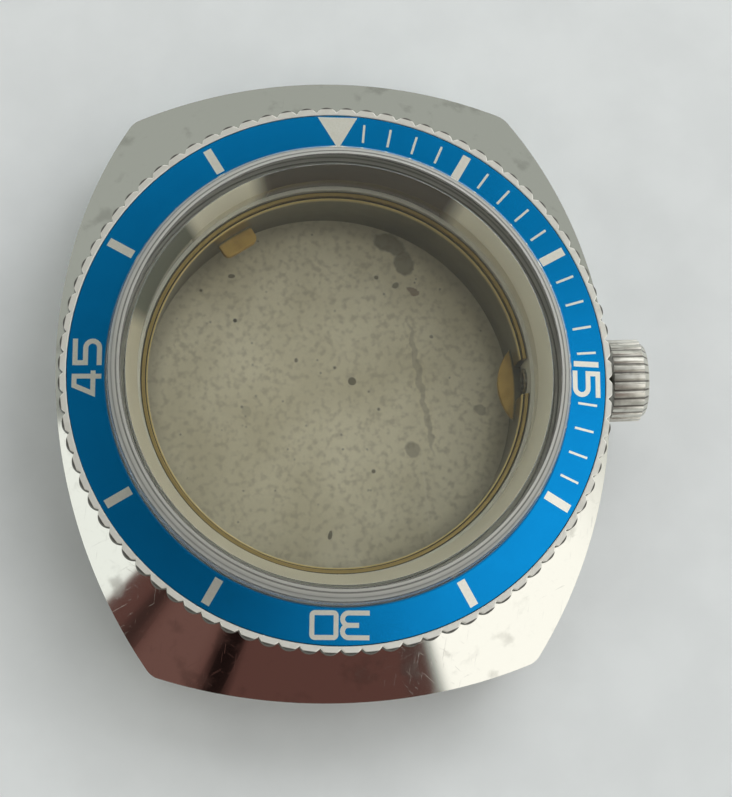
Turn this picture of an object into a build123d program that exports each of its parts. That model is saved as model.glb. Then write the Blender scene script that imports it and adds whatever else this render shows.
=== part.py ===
from build123d import *

import os
from math import atan, cos, pi, sin

# Empty diver's watch case: barrel-shaped middle with hooded lugs, turning bezel with a sloping insert,
# flat-topped crystal on a tension ring, brass movement ring, fluted crown on a tube, screw-in back.
# Millimetres. The origin is the centre of the back's flat underside, +Z rises through the crystal,
# +Y points to 12 o'clock and +X to the crown. Radii are built up from the movement ring outwards.
os.makedirs("parts", exist_ok=True)

# Gaps that several pieces share
running_gap = 0.05  # radial play of what turns or slides
seat_gap = 0.05  # between faces that turn on each other or come apart
cut_overrun = 1.0  # how far a cutting shape runs past what it cuts

# Movement ring: thin brass wall with two pads, a gap for the crown tube and a wider bore below the pads
ring_bore_radius = 13.7
ring_ledge = 0.2
ring_wall = 0.3
ring_drop = 0.4  # top of the ring below the crystal's ledge
ring_step_width = 0.2
ring_step_height = 0.35
pad_thickness = 0.6
pad_reach = 1.3
pad_clearance = 0.1  # pads above the ledge
side_pad_width = 2.8
side_pad_round = 0.5
side_pad_angle = 120  # 11 o'clock, counted from +X
tube_pad_radius = 4.0
tube_gap_width = 2.6

# Case back, with its screw skirt round the movement ring and the notches for the opening key
skirt_play = 0.7
skirt_wall = 0.9
skirt_height = 1.4
thread_gap = 0.1
back_lip = 0.7  # flange beyond the gasket
back_flange = 1.2
back_floor = 0.9
back_bevel_width = 1.0
back_bevel_height = 0.6
key_notches = 6
key_notch_width = 2.6
key_notch_depth = 1.2
key_notch_height = 0.7

# Back gasket, a flat ring at the root of the skirt
back_gasket_width = 1.0
back_gasket_thickness = 0.5

# Tension ring inside the crystal wall, a mirror cone that falls towards the dial
tension_setback = 0.05  # foot of the cone outside the movement ring's housing
tension_cone_width = 1.1
tension_cone_height = 1.8
tension_height = 2.8

# Crystal: a cap with an upright wall and a flat top with two bevels
crystal_wall = 1.5
crystal_plate = 1.8
outer_bevel_width = 0.45
outer_bevel_height = 0.6
inner_bevel_width = 0.95
inner_bevel_height = 0.4

# Case middle: the outline is drawn at the bezel seat and leans in towards the underside
body_height = 7.15
flank_margin = 0.28  # widest point of the case beyond the bezel's lobes
flank_lean = 1.5
lug_width = 5.69  # from the strap recess to the corner
corner_drop = 2.33  # corner short of the case's end
corner_round = 1.4
top_fall_share = 0.55  # drop of the sloping top for each millimetre outwards
neck_height = 1.2
neck_wall = 1.0
crystal_seat_depth = 1.3

# Strap recess under each hood, and the spring bar across it
lug_gap = 18.0
bar_rise = 1.65  # bar axis above the underside of the case
recess_wall = 0.2  # recess outside the edge of the back
recess_radius = 2.6
hood_overhang = 3.3  # case beyond the bar axis
bar_hole_depth = 1.5

# Bezel ring: a lobed flange on a narrower skirt, and the insert that lies in it, rising towards the crystal
bezel_flange_play = 0.1  # between the bezel's inner edge and the crystal
bezel_flange = 0.46  # flange over the neck, at its inner edge
bezel_rim_width = 0.25  # from the insert to the valleys between the lobes
bezel_lobes = 84
lobe_height = 0.4  # from valley to tip
lobe_thickness = 1.05
lobe_overhang = 0.75  # lobe tips beyond the skirt, over the sloping top
bezel_land = 0.05  # flat of the bezel seat outside the skirt
insert_width = 2.5
insert_thickness = 0.45
insert_recess = 0.05  # insert's outer edge below the bezel's rim
insert_rise_share = 0.144

# Retaining wire of the bezel, between the bezel's ledge and the lip of the neck
wire_thickness = 0.45
wire_rise = 0.35  # wire above the bezel seat
wire_open_angle = 9

# Crown, its tube, seal, washer and stem
crown_axis_drop = 2.55  # crown axis below the bezel seat
crown_radius = 3.05
crown_length = 2.67
crown_standoff = 0.1  # crown's inner face beyond the widest case flank
crown_face = 0.9
crown_bore_radius = 1.7
crown_flutes = 28
flute_radius = 0.2
flute_depth = 0.13
flute_step = 0.02  # bevel inside the foot of the flutes
crown_bevel_length = 0.4
crown_bevel_height = 0.3
tube_radius = 0.95
tube_bore_radius = 0.62
tube_end_gap = 0.45  # end of the tube short of the bottom of the crown's bore
tube_past_ring = 0.75  # inner end of the tube inside the movement ring's outer wall
stem_tap_depth = 0.5
stem_short = 0.25  # stem's inner end inside the tube
washer_thickness = 0.25
washer_play = 0.1
seal_width = 0.7

# Spring bars: a tube with a sprung tip at each end
bar_radius = 0.75
bar_bore_radius = 0.5
bar_mouth_radius = 0.38
bar_mouth_length = 0.3
tip_radius = 0.4
tip_pivot_length = 1.1
tip_shoulder_radius = 0.65
tip_shoulder_length = 0.4
tip_neck_radius = 0.33
tip_piston_radius = 0.46
tip_piston_length = 1.2
tip_shy = 0.15  # shoulder short of the lug's inner face

# Radii, from the movement ring out
ring_radius = ring_bore_radius + ring_ledge + ring_wall
seat_bore_radius = ring_bore_radius + ring_ledge
ring_housing_radius = ring_radius + seat_gap
skirt_inner_radius = ring_radius + skirt_play
thread_radius = skirt_inner_radius + skirt_wall
thread_bore_radius = thread_radius + thread_gap
gasket_inner_radius = thread_radius + running_gap
gasket_outer_radius = gasket_inner_radius + back_gasket_width
gasket_bore_radius = gasket_outer_radius + running_gap
back_radius = gasket_bore_radius + back_lip
tension_foot_radius = ring_housing_radius + tension_setback
crystal_bore_radius = tension_foot_radius + tension_cone_width
crystal_radius = crystal_bore_radius + crystal_wall
neck_radius = crystal_radius + neck_wall
bezel_bore_radius = neck_radius + running_gap
bezel_inner_radius = crystal_radius + bezel_flange_play
insert_radius = bezel_inner_radius + insert_width
insert_bed_radius = insert_radius + running_gap
bezel_valley_radius = insert_radius + bezel_rim_width
bezel_tip_radius = bezel_valley_radius + lobe_height
bezel_skirt_radius = bezel_tip_radius - lobe_overhang
seat_radius = bezel_skirt_radius + bezel_land
wire_inner_radius = neck_radius + running_gap / 2 - wire_thickness / 2
wire_outer_radius = wire_inner_radius + wire_thickness

# Reach of the case along X and Y
case_half_width = bezel_tip_radius + flank_margin
lug_face = lug_gap / 2
corner_x = lug_face + lug_width
recess_wall_y = back_radius + recess_wall
bar_reach = recess_wall_y + recess_radius
case_half_length = bar_reach + hood_overhang
corner_y = case_half_length - corner_drop
beyond_corners = corner_x + corner_y

# Heights, from the back's underside up
case_bottom = back_flange + seat_gap
bezel_seat = case_bottom + body_height
neck_top = bezel_seat + neck_height
crystal_ledge = neck_top - crystal_seat_depth
bezel_bottom = bezel_seat + seat_gap
flange_under = neck_top + seat_gap
bed_inner_z = flange_under + bezel_flange
bed_edge_z = bed_inner_z - insert_rise_share * (insert_bed_radius - bezel_inner_radius)
insert_edge = bed_edge_z + insert_thickness + insert_rise_share * running_gap
insert_inner_z = insert_edge + insert_rise_share * insert_width
bezel_rim = insert_edge + insert_recess
lobe_under = bezel_rim - lobe_thickness
wire_bottom = bezel_seat + wire_rise
wire_top = wire_bottom + wire_thickness
crown_z = bezel_seat - crown_axis_drop
bar_z = case_bottom + bar_rise
ring_bottom = back_floor + seat_gap
ring_top = crystal_ledge - ring_drop
pad_top = crown_z - tube_radius - seat_gap
pad_bottom = pad_top - pad_thickness
tension_top = crystal_ledge + tension_height
crystal_under = tension_top + seat_gap
crystal_top = crystal_under + crystal_plate


def turned(profile_points, mode=Mode.ADD, arc=360):
    """Revolve a closed profile of (radius, height) points about the case's axis."""
    with BuildSketch(Plane.XZ, mode=Mode.PRIVATE) as profile:
        with BuildLine():
            Polyline(*profile_points, close=True)
        make_face()
    revolve(profile.sketch, axis=Axis.Z, revolution_arc=arc, mode=mode)


def turned_across(axis_plane, profile_points, mode=Mode.ADD):
    """Revolve a closed profile of (distance, radius) points about the local X axis of a plane."""
    with BuildSketch(axis_plane, mode=Mode.PRIVATE) as profile:
        with BuildLine():
            Polyline(*profile_points, close=True)
        make_face()
    across = Axis(axis_plane.origin, axis_plane.x_dir)
    revolve(profile.sketch, axis=across, mode=mode)


# Case middle
slope_angle = atan(top_fall_share)
roof_y = bar_reach + recess_radius * sin(slope_angle)
roof_z = bar_z + recess_radius * cos(slope_angle)
far_reach = case_half_length + cut_overrun
roof_end_z = roof_z - top_fall_share * (far_reach - roof_y)
arch_middle = (3 * pi / 2 - slope_angle) / 2
below_case = case_bottom - cut_overrun
top_end_z = bezel_seat - top_fall_share * (beyond_corners - seat_radius)

with BuildPart() as case_middle:
    for height, inset in ((case_bottom, flank_lean), (bezel_seat, 0)):
        half_width = case_half_width - inset
        half_length = case_half_length - inset
        x, y = corner_x - inset, corner_y - inset
        with BuildSketch(Plane.XY.offset(height)) as outline:
            with BuildLine():
                ThreePointArc((x, -y), (half_width, 0), (x, y))
                ThreePointArc((x, y), (0, half_length), (-x, y))
                ThreePointArc((-x, y), (-half_width, 0), (-x, -y))
                ThreePointArc((-x, -y), (0, -half_length), (x, -y))
            make_face()
            fillet(outline.vertices(), corner_round)
    loft(ruled=True)

    # sloping top, turned down outside the bezel seat
    above_seat = bezel_seat + cut_overrun
    turned(
        [
            (seat_radius, bezel_seat),
            (beyond_corners, top_end_z),
            (beyond_corners, above_seat),
            (seat_radius, above_seat),
        ],
        mode=Mode.SUBTRACT,
    )

    # neck that the bezel turns on
    turned(
        [
            (ring_housing_radius, crystal_ledge - body_height / 2),
            (neck_radius, crystal_ledge - body_height / 2),
            (neck_radius, neck_top),
            (ring_housing_radius, neck_top),
        ]
    )

    # bores for gasket, screw thread, movement ring and crystal, from below to above
    gasket_recess = case_bottom + back_gasket_thickness
    thread_end = case_bottom + skirt_height + thread_gap
    above_neck = neck_top + cut_overrun
    turned(
        [
            (0, below_case),
            (gasket_bore_radius, below_case),
            (gasket_bore_radius, gasket_recess),
            (thread_bore_radius, gasket_recess),
            (thread_bore_radius, thread_end),
            (ring_housing_radius, thread_end),
            (ring_housing_radius, crystal_ledge),
            (crystal_radius, crystal_ledge),
            (crystal_radius, above_neck),
            (0, above_neck),
        ],
        mode=Mode.SUBTRACT,
    )

    # groove for the bezel's wire, which leaves a lip above it
    turned(
        [
            (wire_inner_radius - running_gap, wire_bottom - seat_gap),
            (bezel_bore_radius, wire_bottom - seat_gap),
            (bezel_bore_radius, wire_top + seat_gap),
            (wire_inner_radius - running_gap, wire_top + seat_gap),
        ],
        mode=Mode.SUBTRACT,
    )

    # strap recess under the hood at each end
    for end in (1, -1):
        wall_y = end * recess_wall_y
        arch = (
            end * (bar_reach + recess_radius * cos(arch_middle)),
            bar_z + recess_radius * sin(arch_middle),
        )
        with BuildSketch(Plane.YZ):
            with BuildLine():
                Line((wall_y, below_case), (wall_y, bar_z))
                ThreePointArc((wall_y, bar_z), arch, (end * roof_y, roof_z))
                Line((end * roof_y, roof_z), (end * far_reach, roof_end_z))
                Line((end * far_reach, roof_end_z), (end * far_reach, below_case))
                Line((end * far_reach, below_case), (wall_y, below_case))
            make_face()
        extrude(amount=lug_face, both=True, mode=Mode.SUBTRACT)

    # blind holes for the spring bar tips
    with BuildSketch(Plane.YZ):
        with Locations((bar_reach, bar_z), (-bar_reach, bar_z)):
            Circle(tip_radius + running_gap)
    extrude(amount=lug_face + bar_hole_depth, both=True, mode=Mode.SUBTRACT)

    # hole for the crown tube
    with BuildSketch(Plane.YZ):
        with Locations((0, crown_z)):
            Circle(tube_radius)
    extrude(amount=case_half_width + cut_overrun, mode=Mode.SUBTRACT)

case_middle.part.label = "case_middle"
export_step(case_middle.part, "parts/case_middle.step")


# Bezel ring: the lobes are circles that meet at the valley radius and touch the tip radius
half_lobe = pi / bezel_lobes
tip_fall = bezel_tip_radius - bezel_valley_radius * cos(half_lobe)
lobe_centre = (bezel_tip_radius**2 - bezel_valley_radius**2) / (2 * tip_fall)
lobe_radius = bezel_tip_radius - lobe_centre

with BuildPart() as bezel_ring:
    turned(
        [
            (bezel_bore_radius, bezel_bottom),
            (bezel_skirt_radius, bezel_bottom),
            (bezel_skirt_radius, lobe_under),
            (bezel_tip_radius, lobe_under),
            (bezel_tip_radius, bezel_rim),
            (insert_bed_radius, bezel_rim),
            (insert_bed_radius, bed_edge_z),
            (bezel_inner_radius, bed_inner_z),
            (bezel_inner_radius, flange_under),
            (wire_outer_radius + running_gap, flange_under),
            (wire_outer_radius + running_gap, wire_bottom - seat_gap),
            (bezel_bore_radius, wire_bottom - seat_gap),
        ]
    )
    with BuildSketch(Plane.XY.offset(bezel_bottom)):
        Circle(lobe_centre)
        with PolarLocations(lobe_centre, bezel_lobes):
            Circle(lobe_radius)
    extrude(amount=bezel_rim - bezel_bottom, mode=Mode.INTERSECT)

bezel_ring.part.label = "bezel_ring"
export_step(bezel_ring.part, "parts/bezel_ring.step")


# Bezel insert
with BuildPart() as bezel_insert:
    turned(
        [
            (bezel_inner_radius, insert_inner_z - insert_thickness),
            (insert_radius, insert_edge - insert_thickness),
            (insert_radius, insert_edge),
            (bezel_inner_radius, insert_inner_z),
        ]
    )

bezel_insert.part.label = "bezel_insert"
export_step(bezel_insert.part, "parts/bezel_insert.step")


# Bezel wire, an open ring of flattened section
with BuildPart() as bezel_wire:
    turned(
        [
            (wire_inner_radius, wire_bottom),
            (wire_outer_radius, wire_bottom),
            (wire_outer_radius, wire_top),
            (wire_inner_radius, wire_top),
        ],
        arc=360 - wire_open_angle,
    )

bezel_wire.part.label = "bezel_wire"
export_step(bezel_wire.part, "parts/bezel_wire.step")


# Crystal
bevel_meet_radius = crystal_radius - outer_bevel_width
bevel_meet_z = crystal_top - inner_bevel_height

with BuildPart() as crystal:
    turned(
        [
            (0, crystal_under),
            (crystal_bore_radius, crystal_under),
            (crystal_bore_radius, crystal_ledge),
            (crystal_radius, crystal_ledge),
            (crystal_radius, bevel_meet_z - outer_bevel_height),
            (bevel_meet_radius, bevel_meet_z),
            (bevel_meet_radius - inner_bevel_width, crystal_top),
            (0, crystal_top),
        ]
    )

crystal.part.label = "crystal"
export_step(crystal.part, "parts/crystal.step")


# Tension ring
with BuildPart() as tension_ring:
    turned(
        [
            (tension_foot_radius, crystal_ledge),
            (crystal_bore_radius, crystal_ledge),
            (crystal_bore_radius, tension_top),
            (tension_foot_radius, tension_top - tension_cone_height),
        ]
    )

tension_ring.part.label = "tension_ring"
export_step(tension_ring.part, "parts/tension_ring.step")


# Movement ring with its two pads
pad_inner_radius = ring_bore_radius - pad_reach
pad_root_radius = ring_bore_radius + ring_ledge
seat_top = pad_bottom - pad_clearance

with BuildPart() as movement_ring:
    turned(
        [
            (seat_bore_radius, ring_bottom),
            (ring_radius, ring_bottom),
            (ring_radius, ring_top),
            (ring_bore_radius + ring_step_width, ring_top),
            (ring_bore_radius + ring_step_width, ring_top - ring_step_height),
            (ring_bore_radius, ring_top - ring_step_height),
            (ring_bore_radius, seat_top),
            (seat_bore_radius, seat_top),
        ]
    )
    with BuildSketch(Plane.XY.offset(pad_bottom)):
        # crescent under the crown tube
        with Locations((pad_inner_radius + tube_pad_radius, 0)):
            Circle(tube_pad_radius)
        # square pad with rounded corners
        side_pad_centre = pad_inner_radius + side_pad_width / 2
        with PolarLocations(side_pad_centre, 1, start_angle=side_pad_angle):
            RectangleRounded(side_pad_width, side_pad_width, side_pad_round)
        Circle(pad_root_radius, mode=Mode.INTERSECT)
    extrude(amount=pad_thickness)

    # gap for the crown tube, open at the top
    with BuildSketch(Plane.XY.offset(pad_top)):
        with Locations((ring_radius, 0)):
            Rectangle(2 * cut_overrun, tube_gap_width)
    extrude(amount=ring_top - pad_top, mode=Mode.SUBTRACT)

movement_ring.part.label = "movement_ring"
export_step(movement_ring.part, "parts/movement_ring.step")


# Crown, turned about its own axis along +X
crown_start = case_half_width + crown_standoff
crown_end = crown_start + crown_length
crown_floor = crown_end - crown_face
flutes_end = crown_end - crown_bevel_length
bevel_radius = crown_radius - flute_depth - flute_step
stem_radius = tube_bore_radius - running_gap
crown_plane = Plane(origin=(0, 0, crown_z), x_dir=(1, 0, 0), z_dir=(0, -1, 0))

with BuildPart() as crown:
    turned_across(
        crown_plane,
        [
            (crown_start, crown_bore_radius),
            (crown_start, crown_radius),
            (flutes_end, crown_radius),
            (flutes_end, bevel_radius),
            (crown_end, bevel_radius - crown_bevel_height),
            (crown_end, 0),
            (crown_floor + stem_tap_depth, 0),
            (crown_floor + stem_tap_depth, stem_radius),
            (crown_floor, stem_radius),
            (crown_floor, crown_bore_radius),
        ],
    )
    with BuildSketch(Plane.YZ.offset(crown_start)):
        with Locations((0, crown_z)):
            with PolarLocations(crown_radius - flute_depth + flute_radius, crown_flutes):
                Circle(flute_radius)
    extrude(amount=crown_length, mode=Mode.SUBTRACT)

crown.part.label = "crown"
export_step(crown.part, "parts/crown.step")


# Crown tube, pressed into the case wall
tube_start = ring_radius - tube_past_ring
tube_end = crown_floor - tube_end_gap

with BuildPart() as crown_tube:
    turned_across(
        crown_plane,
        [
            (tube_start, tube_bore_radius),
            (tube_start, tube_radius),
            (tube_end, tube_radius),
            (tube_end, tube_bore_radius),
        ],
    )

crown_tube.part.label = "crown_tube"
export_step(crown_tube.part, "parts/crown_tube.step")


# Crown seal, a ring between tube and crown
seal_start = crown_start + washer_thickness + running_gap

with BuildPart() as crown_seal:
    turned_across(
        crown_plane,
        [
            (seal_start, tube_radius + running_gap / 2),
            (seal_start, crown_bore_radius - running_gap / 2),
            (seal_start + seal_width, crown_bore_radius - running_gap / 2),
            (seal_start + seal_width, tube_radius + running_gap / 2),
        ],
    )

crown_seal.part.label = "crown_seal"
export_step(crown_seal.part, "parts/crown_seal.step")


# Washer that keeps the seal in the crown
with BuildPart() as crown_washer:
    turned_across(
        crown_plane,
        [
            (crown_start, tube_radius + washer_play),
            (crown_start, crown_bore_radius),
            (crown_start + washer_thickness, crown_bore_radius),
            (crown_start + washer_thickness, tube_radius + washer_play),
        ],
    )

crown_washer.part.label = "crown_washer"
export_step(crown_washer.part, "parts/crown_washer.step")


# Stem, cut short inside the tube
with BuildPart() as crown_stem:
    turned_across(
        crown_plane,
        [
            (tube_start + stem_short, 0),
            (tube_start + stem_short, stem_radius),
            (crown_floor + stem_tap_depth, stem_radius),
            (crown_floor + stem_tap_depth, 0),
        ],
    )

crown_stem.part.label = "crown_stem"
export_step(crown_stem.part, "parts/crown_stem.step")


# Case back
skirt_top = back_flange + skirt_height

with BuildPart() as case_back:
    turned(
        [
            (0, 0),
            (back_radius - back_bevel_width, 0),
            (back_radius, back_bevel_height),
            (back_radius, back_flange),
            (thread_radius, back_flange),
            (thread_radius, skirt_top),
            (skirt_inner_radius, skirt_top),
            (skirt_inner_radius, back_floor),
            (0, back_floor),
        ]
    )
    with BuildSketch(Plane.XY):
        with PolarLocations(back_radius, key_notches):
            Rectangle(2 * key_notch_depth, key_notch_width)
    extrude(amount=key_notch_height, mode=Mode.SUBTRACT)

case_back.part.label = "case_back"
export_step(case_back.part, "parts/case_back.step")


# Back gasket
with BuildPart() as back_gasket:
    turned(
        [
            (gasket_inner_radius, back_flange),
            (gasket_outer_radius, back_flange),
            (gasket_outer_radius, back_flange + back_gasket_thickness),
            (gasket_inner_radius, back_flange + back_gasket_thickness),
        ]
    )

back_gasket.part.label = "back_gasket"
export_step(back_gasket.part, "parts/back_gasket.step")


# Spring bars at 12 and 6 o'clock: tube, then a tip at each side
shoulder_x = lug_face - tip_shy
shoulder_start = shoulder_x - tip_shoulder_length
bar_half = shoulder_start - tip_pivot_length - seat_gap
piston_x = bar_half - bar_mouth_length - seat_gap

for bar_name, reach in (("upper", bar_reach), ("lower", -bar_reach)):
    bar_plane = Plane(origin=(0, reach, bar_z), x_dir=(1, 0, 0), z_dir=(0, -1, 0))
    with BuildPart() as bar_tube:
        turned_across(
            bar_plane,
            [
                (-bar_half, bar_mouth_radius),
                (-bar_half, bar_radius),
                (bar_half, bar_radius),
                (bar_half, bar_mouth_radius),
                (bar_half - bar_mouth_length, bar_mouth_radius),
                (bar_half - bar_mouth_length, bar_bore_radius),
                (bar_mouth_length - bar_half, bar_bore_radius),
                (bar_mouth_length - bar_half, bar_mouth_radius),
            ],
        )
    bar_tube.part.label = f"{bar_name}_bar_tube"
    export_step(bar_tube.part, f"parts/{bar_name}_bar_tube.step")

    for side_name, side in (("left", -1), ("right", 1)):
        tip_plane = Plane(origin=(0, reach, bar_z), x_dir=(side, 0, 0), z_dir=(0, -side, 0))
        with BuildPart() as bar_tip:
            turned_across(
                tip_plane,
                [
                    (piston_x - tip_piston_length, 0),
                    (piston_x - tip_piston_length, tip_piston_radius),
                    (piston_x, tip_piston_radius),
                    (piston_x, tip_neck_radius),
                    (shoulder_start, tip_neck_radius),
                    (shoulder_start, tip_shoulder_radius),
                    (shoulder_x, tip_shoulder_radius),
                    (shoulder_x, tip_radius),
                    (shoulder_x + tip_pivot_length, tip_radius),
                    (shoulder_x + tip_pivot_length, 0),
                ],
            )
        bar_tip.part.label = f"{bar_name}_bar_{side_name}_tip"
        export_step(bar_tip.part, f"parts/{bar_name}_bar_{side_name}_tip.step")
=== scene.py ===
from math import atan, cos, radians, sin

import bpy
from mathutils import Matrix, Vector


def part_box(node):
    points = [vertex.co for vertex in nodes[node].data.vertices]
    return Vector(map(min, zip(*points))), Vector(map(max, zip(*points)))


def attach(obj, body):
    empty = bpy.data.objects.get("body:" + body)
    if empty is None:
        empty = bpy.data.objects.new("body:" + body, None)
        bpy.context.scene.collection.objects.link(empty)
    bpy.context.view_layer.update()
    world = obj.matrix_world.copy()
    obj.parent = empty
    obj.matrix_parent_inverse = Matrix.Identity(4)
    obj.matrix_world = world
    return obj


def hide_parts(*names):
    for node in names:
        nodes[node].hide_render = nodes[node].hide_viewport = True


# An empty diver's watch case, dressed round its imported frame.
# Blender works in metres; sizes here are millimetres and are multiplied by mm.
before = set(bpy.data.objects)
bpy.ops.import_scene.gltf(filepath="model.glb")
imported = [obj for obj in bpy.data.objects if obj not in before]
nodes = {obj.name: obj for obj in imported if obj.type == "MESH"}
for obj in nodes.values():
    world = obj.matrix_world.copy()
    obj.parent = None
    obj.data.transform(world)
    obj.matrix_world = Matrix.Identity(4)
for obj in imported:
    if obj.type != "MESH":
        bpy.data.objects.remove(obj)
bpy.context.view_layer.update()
scene = bpy.context.scene
mm = 0.001
print("frame loaded:", len(nodes), "nodes")


# Shader helpers
def linearColour(hexText, brightness=1.0):
    # sRGB hex to the linear values that shaders work in
    channels = [int(hexText[i:i + 2], 16) / 255 for i in (1, 3, 5)]
    linear = [c / 12.92 if c <= 0.04045 else ((c + 0.055) / 1.055) ** 2.4 for c in channels]
    return [c * brightness for c in linear] + [1.0]


def addNode(tree, kind, inputs, output=0, stops=(), **settings):
    # adds a node with its settings, its inputs as values or links, and a ramp's stops
    node = tree.nodes.new("ShaderNode" + kind)
    for key, value in settings.items():
        setattr(node, key, value)
    for key, value in inputs.items():
        if isinstance(value, bpy.types.NodeSocket):
            tree.links.new(value, node.inputs[key])
        else:
            node.inputs[key].default_value = value
    if stops:
        elements = node.color_ramp.elements
        elements.remove(elements[1])
        elements[0].position = stops[0][0]
        elements[0].color = linearColour(stops[0][1])
        for position, hexText in stops[1:]:
            elements.new(position).color = linearColour(hexText)
    return node.outputs[output] if node.outputs else node


def startMaterial(name):
    material = bpy.data.materials.new(name)
    material.use_nodes = True
    tree = material.node_tree
    tree.nodes.clear()
    return material, tree, addNode(tree, "TexCoord", {}, "Object")


def finishMaterial(tree, inputs):
    surface = addNode(tree, "BsdfPrincipled", inputs)
    addNode(tree, "OutputMaterial", {"Surface": surface})


def axisDistance(tree, place):
    # distance from the case's axis
    across = addNode(tree, "VectorMath", {0: place, 1: (1, 1, 0)}, operation="MULTIPLY")
    return addNode(tree, "VectorMath", {0: across}, "Value", operation="LENGTH")


def between(tree, value, start, end, low=0.0, high=1.0):
    # low at the start and high at the end, both given in millimetres
    limits = {"Value": value, "From Min": start * mm, "From Max": end * mm, "To Min": low, "To Max": high}
    return addNode(tree, "MapRange", limits)


def scratches(tree, place, heading, width, length, share):
    # fine straight scratches: noise stretched along one heading, of which only the crests count
    stretch = {"Vector": place, "Rotation": (0, 0, radians(heading))}
    stretch["Scale"] = (length * mm, width * mm, length * mm)
    along = addNode(tree, "Mapping", stretch, vector_type="TEXTURE")
    crests = addNode(tree, "TexNoise", {"Vector": along, "Scale": 1.0, "Detail": 1.0, "Roughness": 0.4})
    limits = {"Value": crests, "From Min": 1 - share, "From Max": 1.04 - share}
    return addNode(tree, "MapRange", limits, interpolation_type="SMOOTHSTEP")


def patches(tree, place, size, low=0.4, high=0.6, detail=4.0):
    # soft patches of about one size: 0 where the cloud is below low, 1 where it is above high
    cloud = addNode(tree, "TexNoise", {"Vector": place, "Scale": 1 / (size * mm), "Detail": detail})
    limits = {"Value": cloud, "From Min": low, "From Max": high}
    return addNode(tree, "MapRange", limits, interpolation_type="SMOOTHSTEP")


def tinted(tree, colour, mask, share, hexText):
    # a share of a second colour over the first, where the mask is
    amount = addNode(tree, "Math", {0: mask, 1: share}, operation="MULTIPLY")
    return addNode(tree, "Mix", {0: amount, 6: colour, 7: linearColour(hexText)}, 2, data_type="RGBA")


# Camera, at the photograph's viewing angle
shot = {
    "place": (-20.44, -38.67, 195.22),
    "looksAlong": (0.1175, 0.1944, -0.9739),
    "top": (0.0248, 0.9798, 0.1986),
    "lens": 119.13,
    "sensor": 36.0,
    "sees": (10, 10000),
}


def makeCamera():
    cameraData = bpy.data.cameras.new("camera")
    cameraData.lens = shot["lens"]
    cameraData.sensor_width = shot["sensor"]
    cameraData.clip_start, cameraData.clip_end = [distance * mm for distance in shot["sees"]]
    camera = bpy.data.objects.new("camera", cameraData)
    scene.collection.objects.link(camera)
    back = -Vector(shot["looksAlong"]).normalized()
    right = Vector(shot["top"]).cross(back).normalized()
    turned = Matrix((right, back.cross(right), back)).transposed().to_4x4()
    camera.matrix_world = Matrix.Translation(Vector(shot["place"]) * mm) @ turned
    scene.camera = camera


makeCamera()
print("camera ready")

# Room that the metal mirrors: degrees round from 6 o'clock, towards the crown, and above the floor
room = {
    "walls": ("#BFC3BC", 1.0),
    "ceiling": ("#858884", 1.0),
    "ceilingFrom": (25, 60),
    "endsSofter": 3,
    "panels": (
        # colour, brightness, round from and to, above the floor from and to, softness
        ("#FFFDF6", 1.6, 29, 97, 23, 54, 1.5),
        ("#FCFFFA", 1.35, -96, -50.5, 30, 56, 1.5),
        ("#6B4842", 1.0, -54, 27, 26, 62, 0.8),
        ("#7F5B54", 1.0, -42, -27, 30, 62, 3.0),
        ("#44302C", 1.0, -47, -43, 30, 62, 1.5),
        ("#1A1110", 1.0, -26, -19.5, 36, 49, 0.8),
        ("#4B4441", 1.0, 21, 27, 36, 62, 0.8),
        ("#FFFFFF", 3.0, 100, 185, 30, 43, 1.5),
        ("#FFFFFF", 1.5, -185, -125, 42, 52, 1.5),
    ),
    "spots": (
        # colour, brightness, direction, radius and softness in degrees
        ("#FFFFFF", 1.25, (0.36, 0.0, 0.93), 15, 7),
        ("#9A9D9A", 1.0, (0.12, 0.19, 0.97), 6, 5),
        ("#3C4040", 1.0, (-0.08, -0.02, 0.996), 7, 4),
    ),
}


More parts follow.
